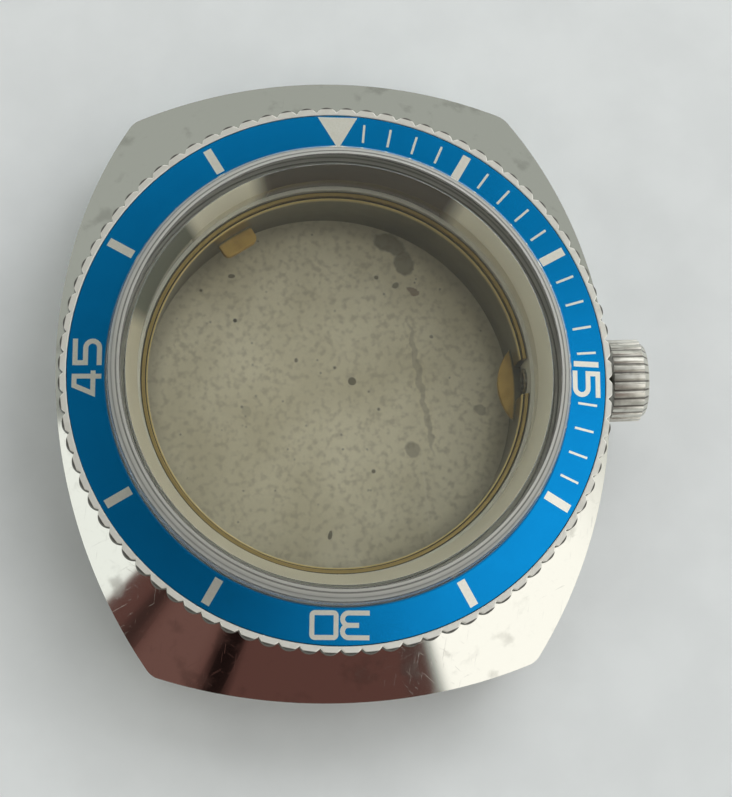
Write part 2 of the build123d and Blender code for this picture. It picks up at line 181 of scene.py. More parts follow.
def makeRoom():
    world = bpy.data.worlds.new("room")
    scene.world = world
    world.use_nodes = True
    tree = world.node_tree
    tree.nodes.clear()
    direction = addNode(tree, "TexCoord", {}, "Generated")
    east, north, rise = [addNode(tree, "SeparateXYZ", {"Vector": direction}, axis) for axis in "XYZ"]
    south = addNode(tree, "Math", {0: north, 1: -1.0}, operation="MULTIPLY")
    turn = addNode(tree, "Math", {0: east, 1: south}, operation="ARCTAN2")
    around = addNode(tree, "Math", {0: turn}, operation="DEGREES")
    lift = addNode(tree, "Math", {0: rise}, operation="ARCSINE")
    above = addNode(tree, "Math", {0: lift}, operation="DEGREES")
    wallsEnd, ceilingFull = room["ceilingFrom"]
    climb = addNode(tree, "MapRange", {"Value": above, "From Min": wallsEnd, "From Max": ceilingFull})
    walls, ceiling = linearColour(*room["walls"]), linearColour(*room["ceiling"])
    colour = addNode(tree, "Mix", {0: climb, 6: walls, 7: ceiling}, 2, data_type="RGBA")
    for hexText, brightness, left, right, low, high, soft in room["panels"]:
        # a panel's upper and lower edges are softer than its sides
        sides = ((around, left, soft), (around, right, -soft))
        ends = ((above, low, soft * room["endsSofter"]), (above, high, -soft * room["endsSofter"]))
        mask = 1.0
        for angle, edge, fade in sides + ends:
            limits = {"Value": angle, "From Min": edge - fade, "From Max": edge + fade}
            side = addNode(tree, "MapRange", limits, interpolation_type="SMOOTHSTEP")
            mask = addNode(tree, "Math", {0: side, 1: mask}, operation="MULTIPLY")
        panel = linearColour(hexText, brightness)
        colour = addNode(tree, "Mix", {0: mask, 6: colour, 7: panel}, 2, data_type="RGBA")
    for hexText, brightness, towards, radius, soft in room["spots"]:
        centre = Vector(towards).normalized()
        near = addNode(tree, "VectorMath", {0: direction, 1: centre}, "Value", operation="DOT_PRODUCT")
        limits = {
            "Value": near,
            "From Min": cos(radians(radius + soft)),
            "From Max": cos(radians(radius - soft)),
        }
        mask = addNode(tree, "MapRange", limits, interpolation_type="SMOOTHSTEP")
        spot = linearColour(hexText, brightness)
        colour = addNode(tree, "Mix", {0: mask, 6: colour, 7: spot}, 2, data_type="RGBA")
    light = addNode(tree, "Background", {"Color": colour, "Strength": 1.0})
    addNode(tree, "OutputWorld", {"Surface": light})


# Soft lamp, up to the right as the shadows in the photograph say
keyLamp = {"place": (300, 330, 420), "size": 400, "watts": 0.8}


def makeLamp():
    lampData = bpy.data.lights.new("keyLamp", "AREA")
    lampData.shape = "DISK"
    lampData.size = keyLamp["size"] * mm
    lampData.energy = keyLamp["watts"]
    lamp = bpy.data.objects.new("keyLamp", lampData)
    scene.collection.objects.link(lamp)
    lamp.location = Vector(keyLamp["place"]) * mm
    lamp.rotation_euler = Vector(keyLamp["place"]).to_track_quat("Z", "Y").to_euler()
    lamp.visible_glossy = False  # mirrors show the room's own windows


floorLook = {"size": 1200, "colour": "#E6EAEC", "shade": "#E1E5E7", "fibre": 6.0}


def paleCard():
    # calendered paper card: matt, nearly white, with a faint cloudiness in its fibre
    material, tree, place = startMaterial("paleCard")
    cloud = patches(tree, place, floorLook["fibre"], 0.3, 0.7)
    colour = tinted(tree, linearColour(floorLook["shade"]), cloud, 1.0, floorLook["colour"])
    finishMaterial(tree, {"Base Color": colour, "Roughness": 0.7, "Specular IOR Level": 0.3})
    return material


def makeFloor():
    bpy.ops.mesh.primitive_plane_add(size=floorLook["size"] * mm)
    floor = bpy.context.object
    floor.name = "floor"
    floor.data.materials.append(paleCard())


makeRoom()
makeLamp()
makeFloor()
print("room, lamp and floor ready")


# Materials. A pair of distances says where a finish starts and where it is full. It is measured from the
# axis of the piece, or where its name says so, down from the piece's top or up from the bench.
caseFinish = {"paintedLightSeat": (17.6, 17.5), "dullness": 0.5}


def polishedStainless():
    # stainless steel, mop polished: sharp mirror reflections under worn-in scratches and smudges
    material, tree, place = startMaterial("polishedStainless")
    marks = 0.0
    for heading, length in ((24, 1.8), (-38, 1.2), (81, 2.2)):
        lines = scratches(tree, place, heading, 0.04, length, 0.26)
        marks = addNode(tree, "Math", {0: lines, 1: marks}, operation="MAXIMUM")
    smudges = patches(tree, place, 2.2, 0.55, 0.72, 7.0)
    colour = tinted(tree, linearColour("#CDCDC8"), smudges, 0.4, "#8F8E88")
    colour = tinted(tree, colour, marks, 0.2, "#9C9B96")
    dulled = addNode(tree, "Math", {0: smudges, 1: 0.06, 2: 0.07}, operation="MULTIPLY_ADD")
    roughness = addNode(tree, "Math", {0: marks, 1: 0.1, 2: dulled}, operation="MULTIPLY_ADD")
    # the seat under the crystal is left as turned, dull so that no reflection shows through, and drawn
    # pale as painted light
    paintedSeatLight = between(tree, axisDistance(tree, place), *caseFinish["paintedLightSeat"])
    # painted light: pale in place of the light that the crystal gathers on the seat, which is missing
    # here
    colour = tinted(tree, colour, paintedSeatLight, 1.0, "#E4E4DE")
    metallic = addNode(tree, "MapRange", {"Value": paintedSeatLight, "To Min": 1.0, "To Max": 0.2})
    dull = addNode(tree, "Math", {0: paintedSeatLight, 1: caseFinish["dullness"]}, operation="MULTIPLY")
    roughness = addNode(tree, "Math", {0: roughness, 1: dull})
    normal = addNode(tree, "Bump", {"Height": marks, "Distance": 0.002 * mm, "Strength": 0.3})
    surface = {"Base Color": colour, "Metallic": metallic, "Roughness": roughness, "Normal": normal}
    finishMaterial(tree, surface)
    return material


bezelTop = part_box("bezel_ring")[1].z
# painted shade on the bezel: at the lobes' tips, out from the axis, and on their flanks, down from the
# top
bezelFinish = {"tips": (20.0, 20.03), "paintedShadeBelowTop": (-0.1, -0.13)}


def satinBezelSteel():
    # stainless steel, turned and satin polished, grimy in patches; its lobes pale on top, with painted
    # shade down their sides and at their tips
    material, tree, place = startMaterial("satinBezelSteel")
    height = addNode(tree, "SeparateXYZ", {"Vector": place}, "Z")
    fromTop = addNode(tree, "Math", {0: height, 1: bezelTop}, operation="SUBTRACT")
    tips = between(tree, axisDistance(tree, place), *bezelFinish["tips"])
    paintedShadeFlanks = between(tree, fromTop, *bezelFinish["paintedShadeBelowTop"])
    sides = addNode(tree, "Math", {0: paintedShadeFlanks, 1: tips}, operation="MAXIMUM")
    grime = patches(tree, place, 1.2, 0.5, 0.75, 5.0)
    colour = tinted(tree, linearColour("#EDEBE3"), grime, 0.3, "#B0ADA3")
    # painted shade: the lobes' flanks and tips drawn dark
    colour = tinted(tree, colour, sides, 0.9, "#2E2C28")
    roughness = addNode(tree, "Math", {0: grime, 1: 0.1, 2: 0.32}, operation="MULTIPLY_ADD")
    finishMaterial(tree, {"Base Color": colour, "Metallic": 0.6, "Roughness": roughness})
    return material


insertFinish = {"wornEdge": (16.87, 16.8)}


def blueAnodised():
    # aluminium, anodised and dyed blue: a metallic blue with a fine dry grain
    material, tree, place = startMaterial("blueAnodised")
    grain = patches(tree, place, 0.12, 0.3, 0.7, 3.0)
    clouds = patches(tree, place, 2.5, 0.3, 0.7)
    colour = tinted(tree, linearColour("#0687CB"), grain, 0.5, "#0A8ED4")
    colour = tinted(tree, colour, clouds, 0.25, "#047BBD")
    wornEdge = between(tree, axisDistance(tree, place), *insertFinish["wornEdge"])
    colour = tinted(tree, colour, wornEdge, 0.6, "#AEBBC0")
    normal = addNode(tree, "Bump", {"Height": grain, "Distance": 0.004 * mm, "Strength": 0.35})
    finishMaterial(tree, {"Base Color": colour, "Metallic": 0.95, "Roughness": 0.27, "Normal": normal})
    return material


def bareAluminium():
    # aluminium where the dye was stopped out, so the marks are pale silver and satin
    material, tree, place = startMaterial("bareAluminium")
    grain = patches(tree, place, 0.15, 0.3, 0.7, 3.0)
    colour = tinted(tree, linearColour("#E6E4D8"), grain, 0.5, "#F2F0E6")
    finishMaterial(tree, {"Base Color": colour, "Metallic": 0.85, "Roughness": 0.3})
    return material


crystalFinish = {
    "rubbed": (15.7, 15.9),
    "rings": (15.6, 16.75),
    "paintedRingStops": (
        (0.0, "#FBFBF4"),
        (0.12, "#FBFBF4"),
        (0.15, "#A0A09C"),
        (0.19, "#A0A09C"),
        (0.22, "#FFFFFA"),
        (0.36, "#F4F4F0"),
        (0.4, "#8E8E8C"),
        (0.46, "#B0B0AC"),
        (0.5, "#FFFFFA"),
        (0.66, "#E8E8E4"),
        (0.7, "#A0A09E"),
        (0.76, "#DCDCD8"),
        (0.86, "#FFFFFA"),
        (0.9, "#8C8C8C"),
        (0.94, "#8C8C8C"),
        (0.98, "#FFFFFA"),
    ),
}


def clearAcrylic():
    # cast acrylic, pressed and polished: clear, faintly yellow, with a few hairline scratches
    material, tree, place = startMaterial("clearAcrylic")
    marks = 0.0
    for heading, length in ((12, 3.0), (-57, 2.0)):
        lines = scratches(tree, place, heading, 0.05, length, 0.27)
        marks = addNode(tree, "Math", {0: lines, 1: marks}, operation="MAXIMUM")
    normal = addNode(tree, "Bump", {"Height": marks, "Distance": 0.001 * mm, "Strength": 0.15})
    # polished on the flat top, rubbed dull on the bevels and wall
    radius = axisDistance(tree, place)
    roughness = between(tree, radius, *crystalFinish["rubbed"], 0.0, 0.2)
    clearness = between(tree, radius, *crystalFinish["rubbed"], 1.0, 0.6)
    # painted reflections: fine grey and pale rings on the bevels and wall, for the bands in which its
    # foot shows through the bevels
    reach = between(tree, radius, *crystalFinish["rings"])
    colour = addNode(tree, "ValToRGB", {"Fac": reach}, stops=crystalFinish["paintedRingStops"])
    surface = {
        "Base Color": colour,
        "Roughness": roughness,
        "IOR": 1.49,
        "Transmission Weight": clearness,
        "Normal": normal,
    }
    finishMaterial(tree, surface)
    return material


# Painted reflections on the tension ring, as shares of a turn clockwise from 12 o'clock: dark there, grey
# at 10 o'clock
paintedTensionReflections = (
    (0.095, "#5C534B"),
    (0.11, "#FFFBEC"),
    (0.79, "#EDE6D2"),
    (0.805, "#7A7D73"),
    (0.875, "#7A7D73"),
    (0.885, "#FFFBEC"),
    (0.935, "#FFFBEC"),
    (0.95, "#5C534B"),
)


def platedBrass():
    # brass, plated pale. It is drawn nearly matt, because the light that the crystal gathers on it
    # is missing here, and its two dark zones stand in for dark parts of the room that it mirrors.
    material, tree, place = startMaterial("platedBrass")
    east, north = [addNode(tree, "SeparateXYZ", {"Vector": place}, axis) for axis in "XY"]
    angle = addNode(tree, "Math", {0: east, 1: north}, operation="ARCTAN2")
    share = addNode(tree, "Math", {0: angle, 1: radians(360)}, operation="DIVIDE")
    turn = addNode(tree, "Math", {0: share}, operation="FRACT")
    colour = addNode(tree, "ValToRGB", {"Fac": turn}, stops=paintedTensionReflections)
    finishMaterial(tree, {"Base Color": colour, "Metallic": 0.1, "Roughness": 0.2})
    return material


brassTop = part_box("movement_ring")[1].z
brassFinish = {
    "lipBelowTop": (-0.9, -0.5),
    "pads": (13.64, 13.5),
    "lipLines": (13.6, 14.3),
    "lipStops": (
        (0.0, "#D8C48A"),
        (0.26, "#D8C48A"),
        (0.3, "#3E3418"),
        (0.4, "#3E3418"),
        (0.45, "#A89055"),
        (0.72, "#B49D62"),
        (0.8, "#3A3120"),
        (1.0, "#3A3120"),
    ),
}


def agedBrass():
    # brass, turned and left bare: gold on its worn lip, dull olive down its wall, ochre on the pads
    material, tree, place = startMaterial("agedBrass")
    height = addNode(tree, "SeparateXYZ", {"Vector": place}, "Z")
    fromTop = addNode(tree, "Math", {0: height, 1: brassTop}, operation="SUBTRACT")
    lip = between(tree, fromTop, *brassFinish["lipBelowTop"])
    radius = axisDistance(tree, place)
    onPads = between(tree, radius, *brassFinish["pads"])
    tarnish = patches(tree, place, 1.4, 0.35, 0.65, 5.0)
    wall = tinted(tree, linearColour("#6F6A57"), tarnish, 0.5, "#5C5746")
    lines = between(tree, radius, *brassFinish["lipLines"])
    lipColour = addNode(tree, "ValToRGB", {"Fac": lines}, stops=brassFinish["lipStops"])
    wall = addNode(tree, "Mix", {0: lip, 6: wall, 7: lipColour}, 2, data_type="RGBA")
    pads = tinted(tree, linearColour("#CBAA62"), tarnish, 0.8, "#B0914E")
    colour = addNode(tree, "Mix", {0: onPads, 6: wall, 7: pads}, 2, data_type="RGBA")
    roughness = addNode(tree, "Math", {0: onPads, 1: 0.2, 2: 0.28}, operation="MULTIPLY_ADD")
    finishMaterial(tree, {"Base Color": colour, "Metallic": 0.7, "Roughness": roughness})
    return material


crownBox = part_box("crown")
crownAxis = (crownBox[0].z + crownBox[1].z) / 2
crownLook = {"flutes": 28, "fluted": (2.55, 2.7), "edge": 0.05}


def wornCrownSteel():
    # stainless steel, milled with straight flutes: bright worn ridges, drawn darker in the grooves
    material, tree, place = startMaterial("wornCrownSteel")
    side, rise = [addNode(tree, "SeparateXYZ", {"Vector": place}, axis) for axis in "YZ"]
    height = addNode(tree, "Math", {0: rise, 1: crownAxis}, operation="SUBTRACT")
    turn = addNode(tree, "Math", {0: height, 1: side}, operation="ARCTAN2")
    turns = addNode(tree, "Math", {0: turn, 1: crownLook["flutes"]}, operation="MULTIPLY")
    wave = addNode(tree, "Math", {0: turns}, operation="COSINE")
    limits = {"Value": wave, "From Min": 0.55, "From Max": 0.95}
    grooves = addNode(tree, "MapRange", limits, interpolation_type="SMOOTHSTEP")
    # only the rim is fluted, and the end face is plain
    fromAxis = addNode(tree, "CombineXYZ", {"X": side, "Y": height})
    reach = addNode(tree, "VectorMath", {0: fromAxis}, "Value", operation="LENGTH")
    onRim = between(tree, reach, *crownLook["fluted"])
    grooves = addNode(tree, "Math", {0: grooves, 1: onRim}, operation="MULTIPLY")
    grime = patches(tree, place, 0.8, 0.4, 0.7, 5.0)
    colour = tinted(tree, linearColour("#DEDCD4"), grime, 0.4, "#A09C95")
    colour = tinted(tree, colour, grooves, 0.75, "#3A3733")
    roughness = addNode(tree, "Math", {0: grime, 1: 0.15, 2: 0.38}, operation="MULTIPLY_ADD")
    finishMaterial(tree, {"Base Color": colour, "Metallic": 1.0, "Roughness": roughness})
    return material


def latheSteel(name, bright, dull, roughness):
    # steel bar, turned and left as cut: grey, satin, with duller patches
    material, tree, place = startMaterial(name)
    cloud = patches(tree, place, 0.9, 0.3, 0.7)
    colour = tinted(tree, linearColour(bright), cloud, 1.0, dull)
    finishMaterial(tree, {"Base Color": colour, "Metallic": 1.0, "Roughness": roughness})
    return material


def nitrileRubber():
    # nitrile rubber, moulded: matt black with a slight bloom
    material, tree, place = startMaterial("nitrileRubber")
    bloom = patches(tree, place, 1.0, 0.3, 0.7)
    colour = tinted(tree, linearColour("#161616"), bloom, 1.0, "#262625")
    finishMaterial(tree, {"Base Color": colour, "Roughness": 0.65})
    return material


# Stains inside the back: place, size and heading of each blot, and how ragged its edge is
backStains = (
    # x and y, half sizes, heading, raggedness, share and colour
    ((5.3, 11.95), (1.35, 0.8), -25, 0.9, 0.6, "#6B6353"),
    ((6.35, 10.4), (0.8, 1.05), 10, 0.6, 0.6, "#6B6353"),
    ((6.23, -4.05), (0.6, 0.75), 20, 0.5, 0.45, "#6F6656"),
    ((1.92, 1.34), (0.34, 0.34), 0, 0.2, 0.8, "#57503F"),
    ((5.6, 8.7), (0.3, 0.24), 0, 0.4, 0.6, "#5F5848"),
    ((6.95, 8.2), (0.5, 0.3), -20, 0.9, 0.6, "#6E4634"),
    ((-0.27, -10.3), (0.18, 0.36), -15, 0.2, 0.8, "#575043"),
    ((3.25, -5.6), (0.17, 0.17), 0, 0.1, 0.8, "#575043"),
    ((-6.72, 6.25), (0.17, 0.17), 0, 0.1, 0.9, "#4A4438"),
    ((-6.85, 9.7), (0.3, 0.17), 0, 0.3, 0.7, "#575043"),
    ((4.17, 9.36), (0.19, 0.17), 0, 0.2, 0.7, "#575043"),
    ((-2.24, 3.07), (0.15, 0.19), 0, 0.1, 0.7, "#575043"),
    ((8.17, 4.64), (0.18, 0.14), 0, 0.2, 0.6, "#66604F"),
    ((11.6, -1.2), (0.6, 0.35), -20, 0.7, 0.4, "#7A735F"),
    ((-6.1, -0.8), (0.4, 0.4), 0, 0.8, 0.25, "#8A8472"),
    ((7.15, 0.84), (0.28, 5.85), 7.6, 0.9, 0.35, "#8A8270"),
    ((7.1, -7.3), (0.07, 3.9), 3.3, 0.1, 0.4, "#F8F3E4"),
)


backFloor = 0.9 * mm  # height of the back's inner face
backFinish = {"paintedWallShade": (12.3, 13.6), "insideAboveBench": (0.6, 0.8), "insideReach": (15.9, 15.7)}


def stainedBackSteel():
    # stainless steel, blasted matt and filmed over by old oil and damp inside, turned bright outside
    material, tree, place = startMaterial("stainedBackSteel")
    film = patches(tree, place, 7.0, 0.3, 0.7, 6.0)
    mottle = patches(tree, place, 0.5, 0.45, 0.7, 5.0)
    colour = tinted(tree, linearColour("#E3DCC4"), film, 1.0, "#FAF4E0")
    colour = tinted(tree, colour, mottle, 0.5, "#B9B19B")
    # painted shade: darker towards the wall, where the wall shades the floor
    radius = axisDistance(tree, place)
    rim = between(tree, radius, *backFinish["paintedWallShade"])
    colour = tinted(tree, colour, rim, 0.45, "#8A8472")
    # dark specks of two sizes: the middles of scattered cells, kept only in some patches
    for spacing, reach, patch, share in ((1.7, 0.1, 2.5, 0.75), (0.8, 0.14, 1.3, 0.5)):
        cells = addNode(tree, "TexVoronoi", {"Vector": place, "Scale": 1 / (spacing * mm)}, "Distance")
        middles = addNode(tree, "MapRange", {"Value": cells, "From Min": reach, "From Max": reach / 2})
        sparse = patches(tree, place, patch, 0.54, 0.6, 2.0)
        specks = addNode(tree, "Math", {0: middles, 1: sparse}, operation="MULTIPLY")
        colour = tinted(tree, colour, specks, share, "#4F4A40")
    ripple = addNode(tree, "TexNoise", {"Vector": place, "Scale": 1 / (0.9 * mm), "Detail": 3.0}, "Color")
    for (east, north), (across, along), heading, ragged, share, hexText in backStains:
        wander = {0: ripple, 1: (ragged * mm, ragged * mm, 0), 2: place}
        shifted = addNode(tree, "VectorMath", wander, operation="MULTIPLY_ADD")
        squeeze = {
            "Vector": shifted,
            "Location": ((east + ragged / 2) * mm, (north + ragged / 2) * mm, backFloor),
            "Rotation": (0, 0, radians(heading)),
            "Scale": (across * mm, along * mm, 1),
        }
        squeezed = addNode(tree, "Mapping", squeeze, vector_type="TEXTURE")
        reach = addNode(tree, "VectorMath", {0: squeezed}, "Value", operation="LENGTH")
        blot = addNode(tree, "MapRange", {"Value": reach, "From Min": 1.0, "From Max": 0.8})
        colour = tinted(tree, colour, blot, share, hexText)
    # outside: clean steel with fine turning rings, drawn coarser than real ones so that they show
    height = addNode(tree, "SeparateXYZ", {"Vector": place}, "Z")
    above = between(tree, height, *backFinish["insideAboveBench"])
    inside = between(tree, radius, *backFinish["insideReach"])
    within = addNode(tree, "Math", {0: above, 1: inside}, operation="MULTIPLY")
    turning = addNode(tree, "CombineXYZ", {"X": radius})
    rings = patches(tree, turning, 0.12, 0.3, 0.7)
    steel = tinted(tree, linearColour("#CBCAC4"), rings, 0.6, "#A9A7A0")
    colour = addNode(tree, "Mix", {0: within, 6: steel, 7: colour}, 2, data_type="RGBA")
    metallic = addNode(tree, "MapRange", {"Value": within, "To Min": 1.0, "To Max": 0.1})
    roughness = addNode(tree, "MapRange", {"Value": within, "To Min": 0.25, "To Max": 0.5})
    marks = addNode(tree, "Math", {0: within, 1: mottle}, operation="MULTIPLY")
    normal = addNode(tree, "Bump", {"Height": marks, "Distance": 0.01 * mm, "Strength": 0.25})
    surface = {"Base Color": colour, "Metallic": metallic, "Roughness": roughness, "Normal": normal}
    finishMaterial(tree, surface)
    return material


finishes = {
    "case_steel": polishedStainless(),
    "bezel_steel": satinBezelSteel(),
    "insert_blue": blueAnodised(),
    "bareMarks": bareAluminium(),
    "spring_wire": latheSteel("drawnSpringWire", "#B5B4AE", "#8D8B84", 0.25),
    "crystal_clear": clearAcrylic(),
    "tension_mirror": platedBrass(),
    "ring_brass": agedBrass(),
    "crown_steel": wornCrownSteel(),
    "tube_steel": latheSteel("turnedTubeSteel", "#BDBBB3", "#7E7A70", 0.3),
    "seal_rubber": nitrileRubber(),
    "back_steel": stainedBackSteel(),
    "bar_steel": latheSteel("drawnBarSteel", "#C2C1BB", "#9A978F", 0.22),
    "tip_steel": latheSteel("turnedTipSteel", "#B8B6AF", "#85827A", 0.28),
}
print("materials ready:", len(finishes))


# Modelling helpers
def activate(piece):
    if bpy.context.mode != "OBJECT":
        bpy.ops.object.mode_set(mode="OBJECT")
    bpy.ops.object.select_all(action="DESELECT")
    piece.select_set(True)
    bpy.context.view_layer.objects.active = piece


def editAll(piece):
    activate(piece)
    bpy.ops.object.mode_set(mode="EDIT")
    bpy.ops.mesh.select_mode(type="VERT")
    bpy.ops.mesh.select_all(action="SELECT")


def applyModifier(piece, kind, **settings):
    activate(piece)
    modifier = piece.modifiers.new(kind.title(), kind)
    for key, value in settings.items():
        setattr(modifier, key, value)
    bpy.ops.object.modifier_apply(modifier=modifier.name)


def softenEdges(piece, width, segments=2, angle=35, smooth=35):
    # round the sharp edges and let the large faces rule the shading
    bevel = {"width": width * mm, "segments": segments, "angle_limit": radians(angle)}
    applyModifier(piece, "BEVEL", limit_method="ANGLE", miter_outer="MITER_ARC", **bevel)
    bpy.ops.object.shade_smooth_by_angle(angle=radians(smooth))
    applyModifier(piece, "WEIGHTED_NORMAL", keep_sharp=True)


def dress(piece, name, body, slot, finish=None):
    piece.name = name
    piece.data.name = name
    piece.data.materials.clear()
    piece.data.materials.append(finishes[finish or slot])
    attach(piece, body)


def mergedCopy(nodeName):
    # a copy of a frame node, its loose triangles merged to whole faces
    activate(nodes[nodeName])
    bpy.ops.object.duplicate()
    piece = bpy.context.object
    bpy.ops.mesh.customdata_custom_splitnormals_clear()
    editAll(piece)
    bpy.ops.mesh.remove_doubles(threshold=2e-6)
    bpy.ops.mesh.dissolve_limited(angle_limit=radians(0.5))
    activate(piece)
    return piece


def drawPath(points):
    # a line through points, one extruded vertex after another, left in edit mode
    bpy.ops.object.select_all(action="DESELECT")
    bpy.ops.mesh.primitive_plane_add(size=mm)
    piece = bpy.context.object
    editAll(piece)
    bpy.ops.mesh.merge(type="CENTER")
    bpy.ops.transform.translate(value=Vector(points[0]) * mm)
    for before, after in zip(points, points[1:]):
        step = (Vector(after) - Vector(before)) * mm
        bpy.ops.mesh.extrude_region_move(TRANSFORM_OT_translate={"value": step})
    return piece


def spinSection(section, steps=240, sweep=360):
    # turn a section of (radius, height) points about the case's axis, counterclockwise from +X.
    # A section that starts and ends on the axis is left open there, and any other is closed.
    points = [(radius, 0, height) for radius, height in section]
    onAxis = points[0][0] == 0 and points[-1][0] == 0
    piece = drawPath(points if onAxis else points + points[:1])
    bpy.ops.mesh.select_all(action="SELECT")
    bpy.ops.mesh.remove_doubles(threshold=1e-6)
    bpy.ops.mesh.select_all(action="SELECT")
    bpy.ops.mesh.spin(steps=steps, angle=-radians(sweep), center=(0, 0, 0), axis=(0, 0, 1))
    bpy.ops.mesh.select_all(action="SELECT")
    bpy.ops.mesh.remove_doubles(threshold=1e-6)
    bpy.ops.mesh.select_all(action="SELECT")
    bpy.ops.mesh.fill_holes(sides=0)
    bpy.ops.mesh.select_all(action="SELECT")
    bpy.ops.mesh.normals_make_consistent(inside=False)
    activate(piece)
    return piece


# Case middle: the frame's shape, its top turned anew so that it mirrors as one true cone
caseLook = {
    "fall": 0.55,
    "trim": 0.1,
    "seatRadius": 19.45,
    "seatGap": 0.05,
    "neckRadius": 17.9,
    "reach": 1.2,
    "steps": 240,
    "merge": 0.015,
    "edge": 0.08,
    "smooth": 14,
}


def makeCaseMiddle():
    piece = mergedCopy("case_middle")
    low, high = [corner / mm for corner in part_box("case_middle")]
    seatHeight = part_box("bezel_ring")[0].z / mm - caseLook["seatGap"]
    seatRadius, neckRadius, trim = caseLook["seatRadius"], caseLook["neckRadius"], caseLook["trim"]
    beyond = caseLook["reach"] * high.y
    rim = seatHeight - trim
    section = (
        (0, low.z - 1),
        (beyond, low.z - 1),
        (beyond, rim - caseLook["fall"] * (beyond - seatRadius)),
        (seatRadius, rim),
        (neckRadius - trim, rim),
        (neckRadius - trim, high.z + 1),
        (0, high.z + 1),
    )
    blank = spinSection(section, caseLook["steps"])
    applyModifier(piece, "BOOLEAN", operation="INTERSECT", solver="EXACT", object=blank)
    bpy.data.objects.remove(blank)
    editAll(piece)
    bpy.ops.mesh.remove_doubles(threshold=caseLook["merge"] * mm)
    softenEdges(piece, caseLook["edge"], smooth=caseLook["smooth"])
    dress(piece, "caseMiddle", "case", "case_steel")
    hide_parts("case_middle")
    print("case middle:", len(piece.data.polygons), "faces")


makeCaseMiddle()

# Pieces that keep the frame's shape, with their edges softened: name, body, slot and edge width
softened = {
    "movement_ring": ("movementRing", "case", "ring_brass", 0.04),
    "crown_tube": ("crownTube", "case", "tube_steel", 0.06),
    "crown": ("crownBody", "crown", "crown_steel", crownLook["edge"]),
    "crown_washer": ("crownWasher", "crown", "tube_steel", 0.03),
    "crown_stem": ("crownStem", "crown", "tube_steel", 0.05),
    "case_back": ("caseBack", "back", "back_steel", 0.08),
    "upper_bar_tube": ("upperBarTube", "upper_bar", "bar_steel", 0.06),
    "lower_bar_tube": ("lowerBarTube", "lower_bar", "bar_steel", 0.06),
    "upper_bar_left_tip": ("upperBarLeftTip", "upper_left_tip", "tip_steel", 0.05),
    "upper_bar_right_tip": ("upperBarRightTip", "upper_right_tip", "tip_steel", 0.05),
    "lower_bar_left_tip": ("lowerBarLeftTip", "lower_left_tip", "tip_steel", 0.05),
    "lower_bar_right_tip": ("lowerBarRightTip", "lower_right_tip", "tip_steel", 0.05),
}
# Inner ends that the photograph shows further out: node, box of the vertices to move, and their step
drawnBack = (
    ("crown_tube", (13.2, -2, 4), (13.6, 2, 8), (0.6, 0, 0)),
    ("crown_stem", (13.5, -2, 4), (13.9, 2, 8), (0.65, 0, 0)),
)


def drawBack(piece, low, high, step):
    editAll(piece)
    bpy.ops.mesh.select_all(action="DESELECT")
    activate(piece)
    for vertex in piece.data.vertices:
        vertex.select = all(a * mm <= c <= b * mm for a, c, b in zip(low, vertex.co, high))
    bpy.ops.object.mode_set(mode="EDIT")
    bpy.ops.transform.translate(value=Vector(step) * mm)
    activate(piece)


for nodeName, (name, body, slot, width) in softened.items():
    piece = mergedCopy(nodeName)
    for moved, low, high, step in drawnBack:
        if moved == nodeName:
            drawBack(piece, low, high, step)
    softenEdges(piece, width)
    dress(piece, name, body, slot)
    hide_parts(nodeName)
    print("softened", name, len(piece.data.polygons), "faces")

# Bezel ring, turned to where it rests in the photograph
bezelLook = {"rest": 2.3, "rimRound": 0.12, "rimSteps": 3, "rimAngle": 50}


def makeBezelRing():
    piece = mergedCopy("bezel_ring")
    piece.rotation_euler = (0, 0, -radians(bezelLook["rest"]))
    bpy.ops.object.transform_apply(location=False, rotation=True, scale=False)
    softenEdges(piece, bezelLook["rimRound"], bezelLook["rimSteps"], angle=bezelLook["rimAngle"])
    dress(piece, "bezelRing", "bezel", "bezel_steel")
    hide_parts("bezel_ring")


# Bezel insert: a thin cone that rises towards the crystal
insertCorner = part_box("bezel_insert")[1] / mm
insertLook = {
    "inner": 16.78,
    "highest": 17.0,
    "thickness": 0.45,
    "rise": 0.144,
    "edge": 0.02,
    "steps": 300,
}
insertSlope = atan(insertLook["rise"])


def insertHeight(radius):
    return insertCorner.z - insertLook["rise"] * (radius - insertLook["highest"])


def makeInsert():
    inner, outer = insertLook["inner"], insertCorner.x
    thickness = insertLook["thickness"]
    highest = insertLook["highest"]
    section = (
        (inner, insertHeight(highest) - thickness),
        (outer, insertHeight(outer) - thickness),
        (outer, insertHeight(outer)),
        (highest, insertHeight(highest)),
        (inner, insertHeight(highest)),
    )
    piece = spinSection(section, insertLook["steps"])
    softenEdges(piece, insertLook["edge"])
    dress(piece, "bezelInsert", "bezel", "insert_blue")
    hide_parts("bezel_insert")


